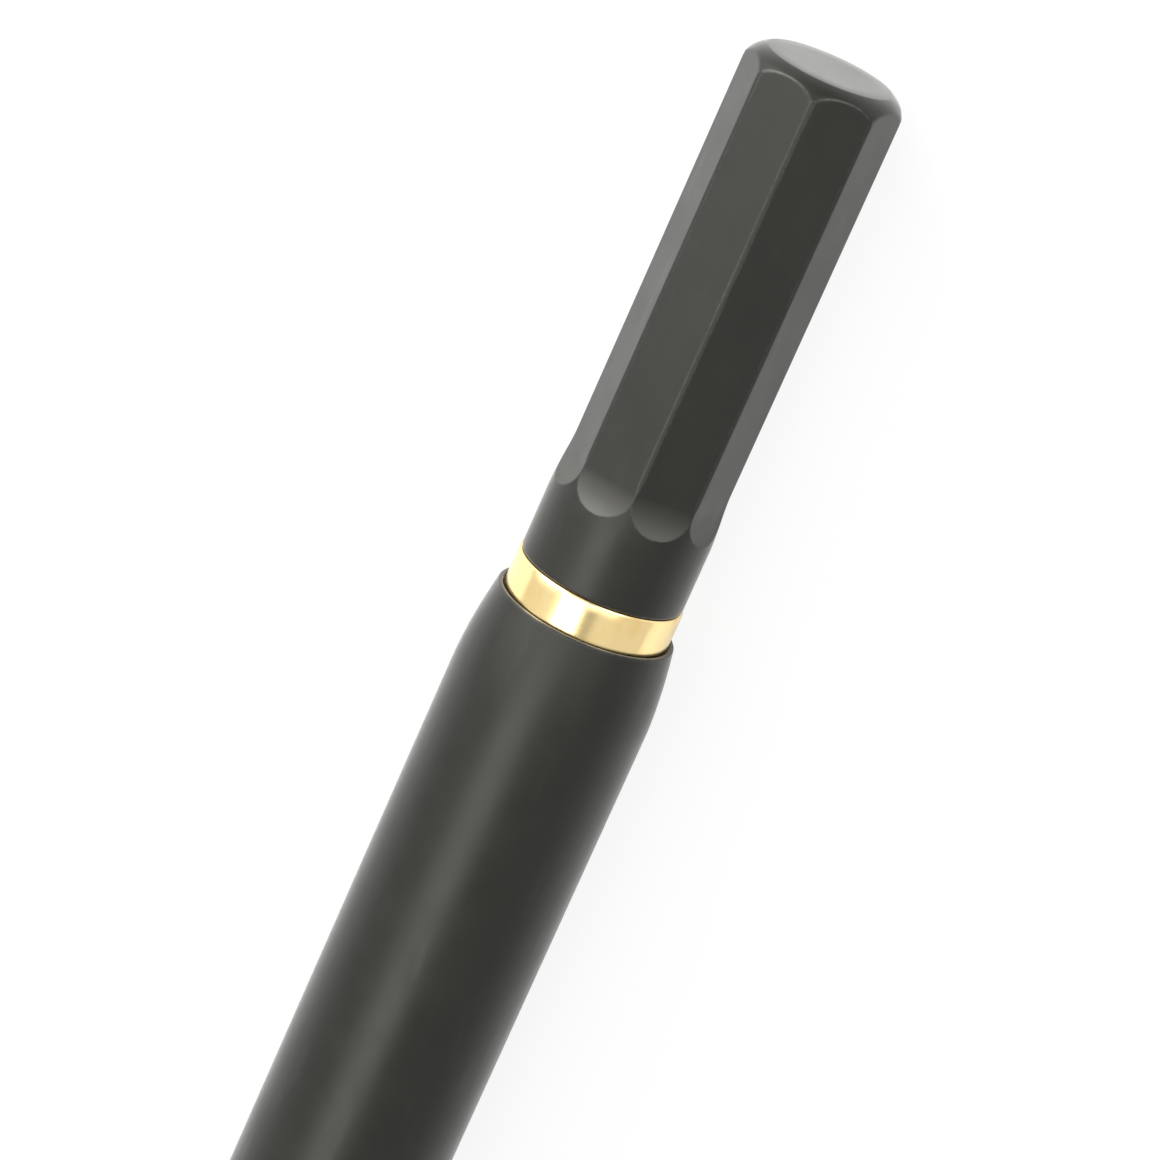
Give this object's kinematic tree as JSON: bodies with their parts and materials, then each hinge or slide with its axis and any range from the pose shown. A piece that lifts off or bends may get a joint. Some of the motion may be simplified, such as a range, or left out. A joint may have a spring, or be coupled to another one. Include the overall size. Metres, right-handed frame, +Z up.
{
  "type": "writing pen",
  "caption": "Twist-action ballpoint pen: satin black round barrel, brass collar ring, eight-sided knob with scooped run-outs, brass nose cone and a sliding refill.",
  "frame": {"origin": "under the middle of the lying pen, on the surface it rests on", "axes": "+X along the pen from the nose tip to the knob's flat end, +Z up from the surface, +Y across"},
  "size_m": [0.14, 0.0104, 0.0104],
  "materials": {
    "satin_black": "black anodised aluminium, fine satin",
    "polished_brass": "polished, lacquered",
    "turned_brass": "as turned",
    "steel": "plain bright steel",
    "tip_silver": "bright nickel silver",
    "carbide": "ground tungsten carbide",
    "white_acetal": "moulded acetal",
    "slip_washer": "low-friction plastic",
    "black_rubber": "soft nitrile",
    "grey_plastic": "moulded",
    "ink": "black oil-based ink"
  },
  "bodies": {
    "barrel": {"barrel": "satin_black", "nose_cone": "polished_brass", "nose_thread_bush": "turned_brass", "mechanism_housing": "turned_brass", "guide_tube": "white_acetal", "friction_ring": "black_rubber", "spring_washer": "steel", "retaining_clip": "steel", "return_spring": "steel"},
    "knob": {"knob": "satin_black", "collar_ring": "polished_brass", "knob_bush": "turned_brass", "cam_sleeve": "turned_brass", "thrust_washer": "slip_washer"},
    "refill": {"refill_tube": "steel", "refill_tip": "tip_silver", "writing_ball": "carbide", "ink_column": "ink", "refill_plug": "grey_plastic", "pusher": "white_acetal", "follower_pin": "steel"}
  },
  "joints": [
    {"name": "knob_twist", "type": "hinge", "parent": "barrel", "child": "knob", "pos_m": [0.0558, 0, 0.00522], "axis": [-1, 0, 0], "range_deg": [0, 180]},
    {"name": "refill_advance", "type": "slide", "parent": "barrel", "child": "refill", "axis": [-1, 0, 0], "range_m": [0, 0.005], "deforming": ["return_spring"]}
  ],
  "couplings": [
    {"joint": "knob_twist", "follows": "refill_advance", "rad_per_m": 628.32}
  ]
}
